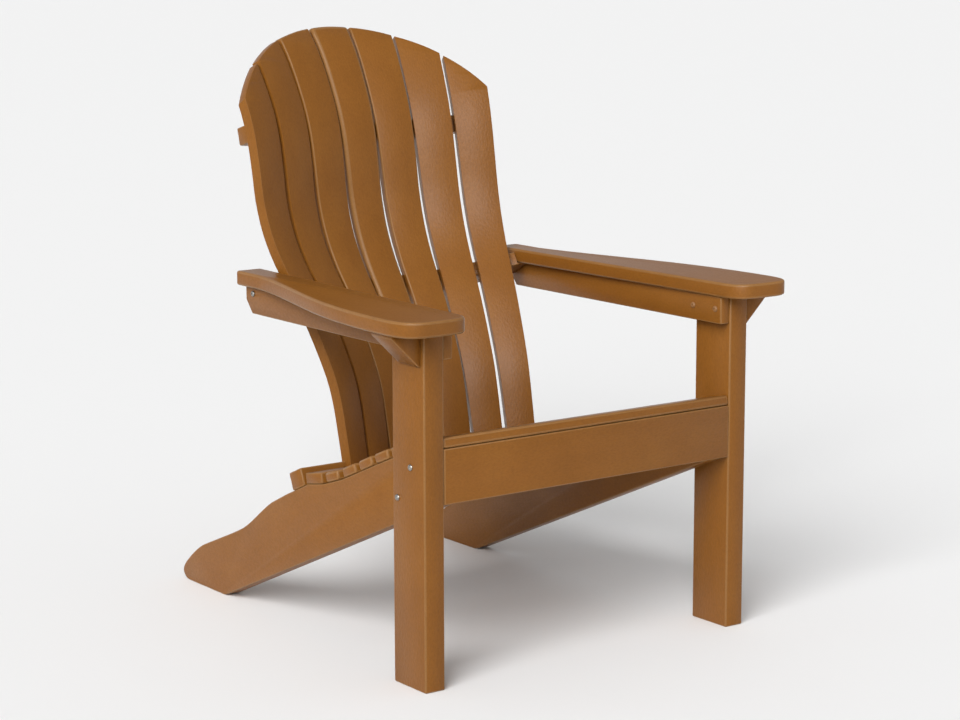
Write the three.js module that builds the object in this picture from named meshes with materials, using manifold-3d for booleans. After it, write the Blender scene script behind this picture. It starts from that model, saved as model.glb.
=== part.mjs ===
// Adirondack chair in solid poly lumber: a fixed, screwed assembly of boards.
// Millimetres, +Z up, the sitter faces -Y, the origin lies on the floor under the middle.
import * as THREE from 'three';
import { mergeVertices } from 'three/addons/utils/BufferGeometryUtils.js';
import Module from 'manifold-3d';

// ---------------------------------------------------------------- driving dimensions
// Every Y below is measured back from the front face of the legs.
const ORIGIN_Y = 403;          // from the legs' front face to the middle of the footprint
const GAP = 0.3;               // clearance kept between boards that touch
const EDGE = 2.5;              // eased edge of an ordinary board

const LEG = { inner: 299, thick: 38, depth: 89, height: 583.7 };
const STRINGER = { outer: 298.7, thick: 31.7 };
const APRON = { thick: 19, bottom: 303.5, top: 395.5, slope: 0.2075 };
const SEAT_SLAT = { thick: 17, width: 41, edge: 4 };
const NOSING = { width: 44 };
const REAR_SEAT = { front: 364, top: 290.5, slope: 0.19, thick: 19, clearance: 2.5 };
const HALF_SEAT = 298.7;       // seat boards end flush with the stringers' outer faces

const ARM = { bottom: 584, thick: 25.4, edge: 6 };
const ARM_RAIL = { inner: 279.7, outer: 298.7, front: 3, rear: 604, bottom: 536.5, top: 583.7 };
const BRACKET = { inner: 337.3, reach: 392, front: 8.5, rear: 64, bottom: 529 };

// Back slats: one bent board profile, tapered, fanned out and set on a concave sweep.
const BACK = { leanDeg: 14.57, baseY: 640, baseZ: 640, thick: 18.7, edge: 6.2, foot: -440 };
const BACK_WIDTH = { low: 57.4, high: 76.2, span: 600, outerTrim: 2.8 };
const BACK_ARCH = { top: 408, radius: 338 };
// bend of a slat: height along the slat, depth of its front face behind the lean line
const BACK_BEND = [[-450, -66], [-360, -72], [-270, -74], [-200, -62], [-120, -40], [-40, -10],
  [20, 4], [80, 7], [140, 2], [200, -1], [260, 4], [350, 25], [420, 54]];
// per slat outward from the middle one: turn, offset, splay, set forward, drift
const BACK_RANK = [
  { turnDeg: 0, across: 0, splay: 0, depth: 0, drift: 0, girth: 0 },
  { turnDeg: 9, across: 74.9, splay: 1.6, depth: -5, drift: 1.6, girth: 83.5 },
  { turnDeg: 18.5, across: 148.1, splay: 4.6, depth: -21.6, drift: 2.7, girth: 169 },
  { turnDeg: 21.9, across: 218.8, splay: 10.9, depth: -46.7, drift: 2, girth: 241 },
];

// Curved cross boards behind the back: centre point of the top front edge, tilt and sweep.
const LOWER_CLEAT = { y: 489, z: 262.1, tiltDeg: 23.3, thick: 31.7, radius: 360, width: 46 };
const ARM_CLEAT = { y: 615.5, z: 572.3, tiltDeg: 30, thick: 25.4, radius: 560, width: 62 };
const UPPER_CLEAT = { y: 710.5, z: 846, tiltDeg: 15.6, thick: 31.7, radius: 600, width: 42 };

const BOLT = { shank: 3, hole: 3.3, head: 5.2, headHigh: 2.6 };

// ---------------------------------------------------------------- finishes
const POLY = { color: 0x8f5f31, roughness: 0.62, metalness: 0 };
const STEEL = { color: 0xc4c6c8, roughness: 0.28, metalness: 1 };

// ---------------------------------------------------------------- small tools
const wasm = await Module();
wasm.setup();

function toManifold(geometry) {
  const clean = geometry.clone();
  clean.deleteAttribute('normal');
  clean.deleteAttribute('uv');
  const merged = mergeVertices(clean, 1e-4);
  const mesh = new wasm.Mesh({
    numProp: 3,
    vertProperties: new Float32Array(merged.attributes.position.array),
    triVerts: new Uint32Array(merged.index.array),
  });
  mesh.merge();
  return new wasm.Manifold(mesh);
}

function fromManifold(solid) {
  const mesh = solid.getMesh();
  const geometry = new THREE.BufferGeometry();
  geometry.setAttribute('position', new THREE.BufferAttribute(mesh.vertProperties, 3));
  geometry.setIndex(new THREE.BufferAttribute(mesh.triVerts, 1));
  return geometry;
}

/** Cut every tool out of a body. */
function cut(body, tools) {
  let solid = toManifold(body);
  for (const tool of tools) {
    solid = solid.subtract(toManifold(tool));
  }
  return fromManifold(solid);
}

function box(x0, x1, y0, y1, z0, z1) {
  const geometry = new THREE.BoxGeometry(x1 - x0, y1 - y0, z1 - z0);
  return geometry.translate((x0 + x1) / 2, (y0 + y1) / 2, (z0 + z1) / 2);
}

/** Outline through points [a, b, radius]; a corner with a radius is rounded by an arc. */
function outline(points) {
  const shape = new THREE.Shape();
  const count = points.length;
  points.forEach(([a, b, radius = 0], i) => {
    const corner = new THREE.Vector2(a, b);
    const before = new THREE.Vector2(...points[(i + count - 1) % count].slice(0, 2));
    const after = new THREE.Vector2(...points[(i + 1) % count].slice(0, 2));
    const start = corner.clone().add(before.sub(corner).setLength(radius));
    const end = corner.clone().add(after.sub(corner).setLength(radius));
    if (i === 0) {
      shape.moveTo(start.x, start.y);
    } else {
      shape.lineTo(start.x, start.y);
    }
    if (radius > 0) {
      shape.quadraticCurveTo(a, b, end.x, end.y);
    }
  });
  return shape;
}

/** Extrude a shape, easing the rims of both ends, with `segments` facets per curve. */
function extrude(shape, length, ease = 0, segments = 3) {
  const geometry = new THREE.ExtrudeGeometry(shape, {
    depth: length - 2 * ease,
    curveSegments: segments,
    bevelEnabled: ease > 0,
    bevelThickness: ease,
    bevelSize: ease,
    bevelOffset: -ease,
    bevelSegments: 1,
  });
  return geometry.translate(0, 0, ease);
}

/** A side profile drawn in (Y, Z) and extruded along X from x0 to x1. */
function alongX(shape, x0, x1, ease = 0, segments = 3) {
  const turn = new THREE.Matrix4().makeBasis(
    new THREE.Vector3(0, 1, 0),
    new THREE.Vector3(0, 0, 1),
    new THREE.Vector3(1, 0, 0),
  );
  return extrude(shape, x1 - x0, ease, segments).applyMatrix4(turn).translate(x0, 0, 0);
}

/** A front profile drawn in (X, Z) and extruded along Y from y0 to y1. */
function alongY(shape, y0, y1, ease = 0, segments = 3) {
  return extrude(shape, y1 - y0, ease, segments).rotateX(Math.PI / 2).translate(0, y1, 0);
}

/** A plan drawn in (X, Y) and extruded up from z0 to z1. */
function alongZ(shape, z0, z1, ease = 0, segments = 3) {
  return extrude(shape, z1 - z0, ease, segments).translate(0, 0, z0);
}

/** Mirror a geometry to the other side of the chair and keep its faces outward. */
function mirrored(geometry) {
  const copy = mergeVertices(geometry.clone().deleteAttribute('uv'));
  copy.scale(-1, 1, 1);
  const index = copy.index.array;
  for (let i = 0; i < index.length; i += 3) {
    [index[i], index[i + 1]] = [index[i + 1], index[i]];
  }
  return copy;
}

const chair = new THREE.Group();
chair.name = 'adirondack_chair';

function add(name, geometry, finish) {
  const plain = geometry.index ? geometry.toNonIndexed() : geometry.clone();
  plain.deleteAttribute('uv');
  plain.translate(0, -ORIGIN_Y, 0);
  plain.computeVertexNormals();
  const mesh = new THREE.Mesh(plain, new THREE.MeshStandardMaterial(finish));
  mesh.name = name;
  chair.add(mesh);
}

/** Add a part drawn on the +X side, and its mirror image on the -X side. */
function addPair(name, geometry, finish) {
  add(`${name}_right`, geometry, finish);
  add(`${name}_left`, mirrored(geometry), finish);
}

// ---------------------------------------------------------------- bolts and their holes
/** A dome-headed bolt along X, its head seated at x and the shank running to `tip`. */
function bolt(x, tip, y, z) {
  const length = Math.abs(tip - x);
  const profile = [
    new THREE.Vector2(0, -length),
    new THREE.Vector2(BOLT.shank, -length),
    new THREE.Vector2(BOLT.shank, GAP),
    new THREE.Vector2(BOLT.head, GAP),
    new THREE.Vector2(BOLT.head, 1.1),
    new THREE.Vector2(BOLT.head * 0.72, BOLT.headHigh),
    new THREE.Vector2(0, BOLT.headHigh + 0.3),
  ];
  const side = Math.sign(x - tip);
  return new THREE.LatheGeometry(profile, 16)
    .rotateZ(-side * Math.PI / 2)
    .translate(x, y, z);
}

function hole(x0, x1, y, z) {
  return new THREE.CylinderGeometry(BOLT.hole, BOLT.hole, x1 - x0, 16)
    .rotateZ(Math.PI / 2)
    .translate((x0 + x1) / 2, y, z);
}

const LEG_BOLTS = [[38.1, 363.3], [75.2, 308.2]];
const RAIL_BOLTS = [[17.3, 562], [74.4, 562]];
const REAR_BOLT = [578.5, 572.5];

// ---------------------------------------------------------------- legs
const legOuter = LEG.inner + LEG.thick;
const legPlan = outline([
  [LEG.inner, 0, EDGE], [legOuter, 0, EDGE],
  [legOuter, LEG.depth, EDGE], [LEG.inner, LEG.depth, EDGE],
]);
const leg = cut(alongZ(legPlan, 0, LEG.height, 1), [
  ...LEG_BOLTS.map(([y, z]) => hole(LEG.inner - 1, legOuter + 1, y, z)),
  ...RAIL_BOLTS.map(([y, z]) => hole(LEG.inner - 1, LEG.inner + 25.5, y, z)),
]);
addPair('front_leg', leg, POLY);

// ---------------------------------------------------------------- seat line and stringers
// Underside of the seat boards, front to back: [y, z] at the middle of each gap.
const SEAT_LINE = [[0, 395.5], [53, 384.5], [103, 369.6], [153, 352.6],
  [200, 333.4], [248.5, 312.6], [301, 290.6], [357, 272.5]];
const rearSeatUnder = REAR_SEAT.top - REAR_SEAT.thick * Math.hypot(1, REAR_SEAT.slope);
const rearSeatLine = (y) => rearSeatUnder - REAR_SEAT.slope * (y - REAR_SEAT.front);
const tilt = (deg) => THREE.MathUtils.degToRad(deg);
const lowerSlope = Math.tan(tilt(LOWER_CLEAT.tiltDeg));
const lowerUnder = (y) => LOWER_CLEAT.z - LOWER_CLEAT.thick / Math.cos(tilt(LOWER_CLEAT.tiltDeg))
  - lowerSlope * (y - LOWER_CLEAT.y);
const stringerFront = APRON.thick + GAP;
const seatFall = (SEAT_LINE[1][1] - SEAT_LINE[0][1]) / (SEAT_LINE[1][0] - SEAT_LINE[0][0]);
const shoulder = 413;

const stringerSide = new THREE.Shape();
stringerSide.moveTo(stringerFront, SEAT_LINE[0][1] + seatFall * stringerFront - GAP);
stringerSide.lineTo(stringerFront, 298);
stringerSide.lineTo(692, 3.6);
stringerSide.quadraticCurveTo(700, 0, 710, 0);
stringerSide.lineTo(832, 0);
stringerSide.quadraticCurveTo(850, 1, 854, 14);
stringerSide.quadraticCurveTo(855, 24, 838, 38);
stringerSide.quadraticCurveTo(800, 70, 772, 81.5);
stringerSide.bezierCurveTo(720, 103, 660, 126, 630, 141);
stringerSide.bezierCurveTo(590, 163, 555, 196, 520, 212);
stringerSide.lineTo(476, lowerUnder(476) - GAP);
stringerSide.lineTo(shoulder, lowerUnder(shoulder) - GAP);
stringerSide.lineTo(shoulder - 3, rearSeatLine(shoulder - 3) - GAP);
for (const [y, z] of SEAT_LINE.slice(1).reverse()) {
  stringerSide.lineTo(y, z - GAP);
}
const stringerInner = STRINGER.outer - STRINGER.thick;
const stringer = cut(
  alongX(stringerSide, stringerInner, STRINGER.outer, 1.5, 4),
  LEG_BOLTS.map(([y, z]) => hole(STRINGER.outer - 24.5, STRINGER.outer + 1, y, z)),
);
addPair('stringer', stringer, POLY);

// ---------------------------------------------------------------- apron
const apronSide = outline([
  [0, APRON.bottom, EDGE], [APRON.thick, APRON.bottom, EDGE],
  [APRON.thick, APRON.top - GAP - APRON.slope * APRON.thick, 2], [0, APRON.top - GAP, 2],
]);
add('front_apron', alongX(apronSide, -HALF_SEAT, HALF_SEAT, 1), POLY);

// ---------------------------------------------------------------- seat slats
/** A seat board of `width` on the facet of the seat line that starts at `from`. */
function seatSlat(index, width, inset) {
  const [y0, z0] = SEAT_LINE[index];
  const [y1, z1] = SEAT_LINE[index + 1];
  const angle = Math.atan2(z1 - z0, y1 - y0);
  const r = SEAT_SLAT.edge;
  const section = outline([
    [inset, 0, r], [inset + width, 0, r],
    [inset + width, SEAT_SLAT.thick, r], [inset, SEAT_SLAT.thick, r],
  ]);
  return alongX(section, -HALF_SEAT, HALF_SEAT, 1.5)
    .rotateX(angle)
    .translate(0, y0, z0);
}
add('seat_nosing', seatSlat(0, NOSING.width, 0), POLY);
for (let i = 1; i < SEAT_LINE.length - 1; i += 1) {
  const [y0, z0] = SEAT_LINE[i];
  const [y1, z1] = SEAT_LINE[i + 1];
  const facet = Math.hypot(y1 - y0, z1 - z0);
  add(`seat_slat_${i}`, seatSlat(i, SEAT_SLAT.width, (facet - SEAT_SLAT.width) / 2), POLY);
}

// ---------------------------------------------------------------- rear seat board
const rearPlan = new THREE.Shape();
const rearEdge = 52;
rearPlan.moveTo(-HALF_SEAT, 2);
rearPlan.lineTo(-HALF_SEAT + 2, 0);
rearPlan.lineTo(HALF_SEAT - 2, 0);
rearPlan.lineTo(HALF_SEAT, 2);
rearPlan.lineTo(HALF_SEAT, rearEdge);
rearPlan.lineTo(228, rearEdge);
rearPlan.quadraticCurveTo(110, 99, 0, 99);
rearPlan.quadraticCurveTo(-110, 99, -228, rearEdge);
rearPlan.lineTo(-HALF_SEAT, rearEdge);
const rearSeat = alongZ(rearPlan, -REAR_SEAT.thick, 0, 1.5, 8)
  .rotateX(-Math.atan(REAR_SEAT.slope))
  .translate(0, REAR_SEAT.front, REAR_SEAT.top);

// ---------------------------------------------------------------- back slats
/** Depth of the bend at a height along the slat, by a smooth curve through its stations. */
function bend(s) {
  const last = BACK_BEND.length - 1;
  const next = BACK_BEND.findIndex(([height]) => height > s);
  const i = next < 0 ? last - 1 : Math.max(next - 1, 0);
  const [s0, d0] = BACK_BEND[i];
  const [s1, d1] = BACK_BEND[i + 1];
  const slope = (k) => {
    const [sa, da] = BACK_BEND[Math.max(k - 1, 0)];
    const [sb, db] = BACK_BEND[Math.min(k + 1, last)];
    return (db - da) / (sb - sa);
  };
  const t = (s - s0) / (s1 - s0);
  const rise = t * t * (3 - 2 * t);
  const leave = t * (1 - t) * (1 - t) * slope(i);
  const arrive = t * t * (t - 1) * slope(i + 1);
  return d0 + (d1 - d0) * rise + (s1 - s0) * (leave + arrive);
}

/** Slat `k` steps from the middle (negative to the left), grown by `grow` all round. */
function backSlat(k, grow = 0, steps = 20) {
  const rank = BACK_RANK[Math.abs(k)];
  const side = Math.sign(k);
  const trim = Math.abs(k) === 3 ? BACK_WIDTH.outerTrim : 0;
  const half = BACK_WIDTH.low / 2;
  const r = BACK.edge;
  const section = outline([
    [half, -grow, r], [half, BACK.thick + grow, r], [0, BACK.thick + grow],
    [-half, BACK.thick + grow, r], [-half, -grow, r], [0, -grow],
  ]);
  const geometry = new THREE.ExtrudeGeometry(section, {
    depth: 1, steps, curveSegments: 2, bevelEnabled: false,
  });
  const position = geometry.attributes.position;
  const turn = side * tilt(rank.turnDeg);
  const lean = tilt(BACK.leanDeg);
  for (let i = 0; i < position.count; i += 1) {
    const u = position.getX(i);
    const girth = rank.girth + side * u * 1.3;
    const reach = Math.sqrt(BACK_ARCH.radius ** 2 - girth ** 2);
    const top = BACK_ARCH.top - BACK_ARCH.radius + reach + grow;
    const s = BACK.foot - grow + position.getZ(i) * (top - BACK.foot + grow);
    const width = BACK_WIDTH.low - trim
      + (BACK_WIDTH.high - BACK_WIDTH.low) * (s + 300) / BACK_WIDTH.span;
    const across = u + Math.sign(u) * (Math.abs(u) > 1 ? width / 2 - half + grow : 0);
    const depth = bend(s) + position.getY(i);
    const t = s / 300;
    const x = side * (rank.across + rank.splay * t)
      + across * Math.cos(turn) + depth * Math.sin(turn);
    const back = rank.depth + rank.drift * t
      - across * Math.sin(turn) + depth * Math.cos(turn);
    position.setXYZ(
      i,
      x,
      BACK.baseY + back * Math.cos(lean) + s * Math.sin(lean),
      BACK.baseZ - back * Math.sin(lean) + s * Math.cos(lean),
    );
  }
  return geometry;
}

const RANKS = [-3, -2, -1, 0, 1, 2, 3];
for (const k of RANKS) {
  add(`back_slat_${k + 4}`, backSlat(k), POLY);
}
const slatTools = RANKS.map((k) => backSlat(k, GAP));
const looseSlatTools = RANKS.map((k) => backSlat(k, REAR_SEAT.clearance));
add('rear_seat_board', cut(rearSeat, looseSlatTools), POLY);

// ---------------------------------------------------------------- curved cross boards
/** Lay a plan board under its tilted top plane: X across, Y down the slope. */
function tilted(plan, spec, segments = 10) {
  return alongZ(plan, -spec.thick, 0, 1, segments)
    .rotateX(-tilt(spec.tiltDeg))
    .translate(0, spec.y, spec.z);
}

/** Drop of a circular sweep of radius `radius` at `x` from its middle. */
const sag = (radius, x) => radius - Math.sqrt(radius * radius - x * x);

/** Plan with a swept front edge, straight wings past `wing`, and a bowed rear edge. */
function sweptPlan(spec, wing, half, rearEnd) {
  const frontEnd = -sag(spec.radius, wing);
  const turn = Math.asin(wing / spec.radius);
  const plan = new THREE.Shape();
  plan.moveTo(-half, rearEnd);
  plan.lineTo(-half, frontEnd);
  plan.lineTo(-wing, frontEnd);
  plan.absarc(0, -spec.radius, spec.radius, Math.PI / 2 + turn, Math.PI / 2 - turn, true);
  plan.lineTo(half, frontEnd);
  plan.lineTo(half, rearEnd);
  plan.quadraticCurveTo(half * 0.45, spec.width, 0, spec.width);
  plan.quadraticCurveTo(-half * 0.45, spec.width, -half, rearEnd);
  return plan;
}

const lowerPlan = sweptPlan(LOWER_CLEAT, 203, HALF_SEAT, -21.8);
add('lower_back_cleat', cut(tilted(lowerPlan, LOWER_CLEAT), slatTools), POLY);

const upperPlan = sweptPlan(UPPER_CLEAT, 255, 262, -24);
add('upper_back_cleat', cut(tilted(upperPlan, UPPER_CLEAT), slatTools), POLY);

// ---------------------------------------------------------------- arms
const armPlan = new THREE.Shape();
armPlan.moveTo(274, 2);
armPlan.bezierCurveTo(274, -30, 284, -46, 314, -47);
armPlan.bezierCurveTo(326, -48, 338, -48, 350, -48);
armPlan.bezierCurveTo(388, -49, 403, -33, 402, 20);
armPlan.bezierCurveTo(401, 130, 388, 210, 368, 290);
armPlan.bezierCurveTo(350, 365, 318, 470, 309, 545);
armPlan.lineTo(308, 616);
armPlan.quadraticCurveTo(308, 621, 303, 621);
armPlan.lineTo(263, 621);
armPlan.quadraticCurveTo(258, 621, 258, 616);
const arm = alongZ(armPlan, ARM.bottom, ARM.bottom + ARM.thick, ARM.edge / 2, 7);
addPair('arm', arm, POLY);

// ---------------------------------------------------------------- arm-level cross board
const armTool = box(257.4, 330, 500, 660, ARM.bottom - GAP, ARM.bottom + 60);
const armPlanBoard = sweptPlan(ARM_CLEAT, 279.4, 279.4, -14);
const rearHoles = [
  hole(ARM_RAIL.inner - 32, ARM_RAIL.inner + 2, ...REAR_BOLT),
  hole(-ARM_RAIL.inner - 2, -ARM_RAIL.inner + 32, ...REAR_BOLT),
];
add('arm_level_cross_board', cut(tilted(armPlanBoard, ARM_CLEAT), [
  ...slatTools, armTool, mirrored(armTool), ...rearHoles,
]), POLY);

// ---------------------------------------------------------------- arm rails and brackets
const railSide = outline([
  [ARM_RAIL.front, ARM_RAIL.bottom, EDGE], [584, ARM_RAIL.bottom, EDGE],
  [ARM_RAIL.rear, 560, EDGE], [ARM_RAIL.rear, ARM_RAIL.top, 2], [ARM_RAIL.front, ARM_RAIL.top, 2],
]);
const rail = cut(alongX(railSide, ARM_RAIL.inner, ARM_RAIL.outer, 1), [
  ...RAIL_BOLTS.map(([y, z]) => hole(ARM_RAIL.inner - 1, ARM_RAIL.outer + 1, y, z)),
  hole(ARM_RAIL.inner - 1, ARM_RAIL.outer + 1, ...REAR_BOLT),
]);
addPair('arm_rail', rail, POLY);

const bracketFront = outline([
  [BRACKET.inner, BRACKET.bottom, 1.5], [BRACKET.inner + 4, BRACKET.bottom, 1.5],
  [BRACKET.reach, 578, 2], [BRACKET.reach, ARM_RAIL.top, 2], [BRACKET.inner, ARM_RAIL.top, 2],
]);
addPair('arm_bracket', alongY(bracketFront, BRACKET.front, BRACKET.rear, 1), POLY);

// ---------------------------------------------------------------- bolts
LEG_BOLTS.forEach(([y, z], i) => {
  addPair(`leg_bolt_${i + 1}`, bolt(legOuter, STRINGER.outer - 24, y, z), STEEL);
});
RAIL_BOLTS.forEach(([y, z], i) => {
  addPair(`rail_bolt_${i + 1}`, bolt(ARM_RAIL.inner, LEG.inner + 25, y, z), STEEL);
});
addPair('rear_rail_screw', bolt(ARM_RAIL.outer, ARM_RAIL.inner - 31, ...REAR_BOLT), STEEL);

export default chair;
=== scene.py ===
"""Adirondack chair in cedar-brown poly lumber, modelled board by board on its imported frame.

The chair is a fixed assembly: two legs and two sloping stringers carry a slatted seat, a fan of
bent back slats is housed in three curved cross boards, and two paddle-shaped arms lie on rails.
"""
import logging
import math
from dataclasses import dataclass
from enum import Enum
from typing import Callable, Iterable, Sequence

import bpy
from mathutils import Matrix, Vector


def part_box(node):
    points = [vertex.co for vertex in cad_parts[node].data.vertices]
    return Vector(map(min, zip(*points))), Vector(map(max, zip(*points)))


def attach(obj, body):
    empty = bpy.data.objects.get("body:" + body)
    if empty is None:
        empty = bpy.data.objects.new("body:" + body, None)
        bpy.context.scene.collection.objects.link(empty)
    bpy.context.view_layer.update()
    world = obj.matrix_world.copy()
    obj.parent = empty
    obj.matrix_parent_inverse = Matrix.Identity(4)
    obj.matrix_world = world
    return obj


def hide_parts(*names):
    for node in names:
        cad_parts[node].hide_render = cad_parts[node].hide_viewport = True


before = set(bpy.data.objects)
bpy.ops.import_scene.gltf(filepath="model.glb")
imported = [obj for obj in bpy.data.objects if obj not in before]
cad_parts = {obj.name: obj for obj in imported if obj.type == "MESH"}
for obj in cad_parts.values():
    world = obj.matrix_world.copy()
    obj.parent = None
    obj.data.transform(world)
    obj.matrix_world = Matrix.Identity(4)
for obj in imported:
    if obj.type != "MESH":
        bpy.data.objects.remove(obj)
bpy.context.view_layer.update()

log = logging.getLogger("adirondack_chair")

MM = 0.001
SHARP = math.radians(32)
RANK_RUN = 300.0
EDGE_HIGHLIGHT_SLOT = 1  # the material slot of the rounded edges, which are painted paler as a painted highlight; a piece's faces have slot 0
BODY = "root"
Point = tuple[float, float]
Finishes = tuple[bpy.types.Material, ...]


class Side(Enum):
    """The two sides of the chair, seen from the front."""

    RIGHT = 1
    LEFT = -1

    @property
    def word(self) -> str:
        """The ending that a paired piece of this side has in its name."""
        return self.name.lower()


class Slot(Enum):
    """The record's material slots."""

    LUMBER = "poly_lumber"
    STEEL = "stainless_steel"


# --------------------------------------------------------------------------- materials


def linear(hex_colour: str) -> tuple[float, float, float, float]:
    """Turn an sRGB hex colour into the linear colour that a socket takes.

    Args:
        hex_colour: Six hex digits, such as "8F5F31".

    Returns:
        Linear red, green, blue and an alpha of one.
    """
    parts = [int(hex_colour[i:i + 2], 16) / 255 for i in (0, 2, 4)]
    red, green, blue = (c / 12.92 if c <= 0.04045 else ((c + 0.055) / 1.055) ** 2.4 for c in parts)
    return red, green, blue, 1.0


def add_node(tree: bpy.types.NodeTree, kind: str, links: dict | None = None, **settings) -> bpy.types.Node:
    """Add one shader node.

    Args:
        tree: The node tree that gets the node.
        kind: The node's type name.
        links: Input name or number, with the output socket that feeds it.
        **settings: Node attributes, or input values under the input's name with _ for a space.

    Returns:
        The new node.
    """
    made = tree.nodes.new(kind)
    for name, value in settings.items():
        if hasattr(made, name):
            setattr(made, name, value)
        else:
            made.inputs[name.replace("_", " ")].default_value = value
    for name, source in (links or {}).items():
        tree.links.new(source, made.inputs[name])
    return made


def ramp(
    tree: bpy.types.NodeTree, source: bpy.types.NodeSocket, stops: Sequence[tuple[float, str]],
) -> bpy.types.NodeSocket:
    """Colour a value by a ramp.

    Args:
        tree: The node tree that gets the ramp.
        source: The value that is coloured.
        stops: Place from 0 to 1 and hex colour of each stop.

    Returns:
        The ramp's colour output.
    """
    made = add_node(tree, "ShaderNodeValToRGB", {"Fac": source})
    elements = made.color_ramp.elements
    while len(elements) < len(stops):
        elements.new(0.5)
    for element, (place, colour) in zip(elements, stops):
        element.position = place
        element.color = linear(colour)
    return made.outputs["Color"]


@dataclass(frozen=True)
class PolyLumber:
    """Extruded HDPE lumber, coloured through and embossed while warm.

    To the eye it is an even cedar brown with a soft satin and a fine leathery grain, and it shines
    only at a shallow angle. The grain is drawn at about 2.5 mm, coarser than the real 1 mm emboss,
    so that it shows. The rounded edges are the same lumber, smoother as the cutter leaves it, and
    coloured paler as a painted highlight where the rounds catch the light.
    """

    name: str = "hdpe_poly_lumber_cedar_embossed"
    body: str = "81511C"
    light: str = "85551F"
    dark: str = "7D4E1A"
    grain_mm: float = 2.5
    drift_mm: float = 160.0
    pores_to_grain: float = 1.6
    streaks_to_grain: float = 14.0
    speck_share: float = 0.55
    roughness_low: float = 0.30
    roughness_high: float = 0.42
    bump_mm: float = 0.25
    bump_strength: float = 0.7
    ior: float = 1.54
    face_shine: float = 0.17
    stretch: tuple[float, float, float] = (1.0, 1.0, 1.0)

    def make(self) -> bpy.types.Material:
        """Build the material.

        Returns:
            A material that reads Object coordinates.
        """
        material = bpy.data.materials.new(self.name)
        material.use_nodes = True
        tree = material.node_tree
        shader = tree.nodes["Principled BSDF"]
        place = add_node(tree, "ShaderNodeTexCoord").outputs["Object"]
        along = add_node(tree, "ShaderNodeMapping", {"Vector": place})
        along.inputs["Scale"].default_value = self.stretch
        grain = add_node(
            tree, "ShaderNodeTexNoise", {"Vector": along.outputs["Vector"]},
            Scale=1 / (self.grain_mm * MM), Detail=3.0, Roughness=0.55,
        ).outputs["Fac"]
        pores = add_node(
            tree, "ShaderNodeTexVoronoi", {"Vector": along.outputs["Vector"]},
            Scale=1 / (self.pores_to_grain * self.grain_mm * MM),
        ).outputs["Distance"]
        streak = add_node(
            tree, "ShaderNodeTexNoise", {"Vector": along.outputs["Vector"]},
            Scale=1 / (self.streaks_to_grain * self.grain_mm * MM), Detail=4.0, Roughness=0.6,
        ).outputs["Fac"]
        drift = add_node(
            tree, "ShaderNodeTexNoise", {"Vector": place},
            Scale=1 / (self.drift_mm * MM), Detail=2.0,
        ).outputs["Fac"]
        mottle = add_node(
            tree, "ShaderNodeMath", {0: streak, 1: drift}, operation="ADD",
        ).outputs["Value"]
        mean = add_node(tree, "ShaderNodeMath", {0: mottle}, operation="MULTIPLY")
        mean.inputs[1].default_value = 0.5
        tone = ramp(tree, mean.outputs["Value"], [(0.32, self.dark), (0.5, self.body), (0.68, self.light)])
        speck = ramp(tree, grain, [(0.3, "E2E2E2"), (0.6, "FFFFFF")])
        coloured = add_node(tree, "ShaderNodeMix", data_type="RGBA", blend_type="MULTIPLY")
        coloured.inputs[0].default_value = self.speck_share
        tree.links.new(tone, coloured.inputs[6])
        tree.links.new(speck, coloured.inputs[7])
        tree.links.new(coloured.outputs[2], shader.inputs["Base Color"])
        rough = add_node(tree, "ShaderNodeMapRange", {"Value": grain})
        rough.inputs["To Min"].default_value = self.roughness_high
        rough.inputs["To Max"].default_value = self.roughness_low
        tree.links.new(rough.outputs["Result"], shader.inputs["Roughness"])
        relief = add_node(tree, "ShaderNodeMath", {0: grain, 1: pores}, operation="ADD")
        bump = add_node(
            tree, "ShaderNodeBump", {"Height": relief.outputs["Value"]}, Strength=self.bump_strength,
        )
        bump.inputs["Distance"].default_value = self.bump_mm * MM
        tree.links.new(bump.outputs["Normal"], shader.inputs["Normal"])
        shader.inputs["IOR"].default_value = self.ior
        shader.inputs["Specular IOR Level"].default_value = self.face_shine
        return material


@dataclass(frozen=True)
class StainlessSteel:
    """Stainless steel, cold formed and tumbled: a grey sheen with a small highlight and faint scuffs.

    The rail bolts are the same steel under a dull brown coating, so they nearly vanish in the lumber.
    """

    name: str = "stainless_steel_tumbled"
    clean: str = "A8A6A2"
    scuffed: str = "86837E"
    scuff_mm: float = 1.2
    scuff_deep_mm: float = 0.05
    metallic: float = 1.0
    roughness_low: float = 0.3
    roughness_high: float = 0.42

    def make(self) -> bpy.types.Material:
        """Build the material.

        Returns:
            A material that reads Object coordinates.
        """
        material = bpy.data.materials.new(self.name)
        material.use_nodes = True
        tree = material.node_tree
        shader = tree.nodes["Principled BSDF"]
        place = add_node(tree, "ShaderNodeTexCoord").outputs["Object"]
        scuff = add_node(
            tree, "ShaderNodeTexNoise", {"Vector": place},
            Scale=1 / (self.scuff_mm * MM), Detail=3.0,
        ).outputs["Fac"]
        tone = ramp(tree, scuff, [(0.35, self.scuffed), (0.6, self.clean)])
        tree.links.new(tone, shader.inputs["Base Color"])
        rough = add_node(tree, "ShaderNodeMapRange", {"Value": scuff})
        rough.inputs["To Min"].default_value = self.roughness_high
        rough.inputs["To Max"].default_value = self.roughness_low
        tree.links.new(rough.outputs["Result"], shader.inputs["Roughness"])
        bump = add_node(tree, "ShaderNodeBump", {"Height": scuff}, Strength=0.15)
        bump.inputs["Distance"].default_value = self.scuff_deep_mm * MM
        tree.links.new(bump.outputs["Normal"], shader.inputs["Normal"])
        shader.inputs["Metallic"].default_value = self.metallic
        return material


# --------------------------------------------------------------------------- outlines


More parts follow.
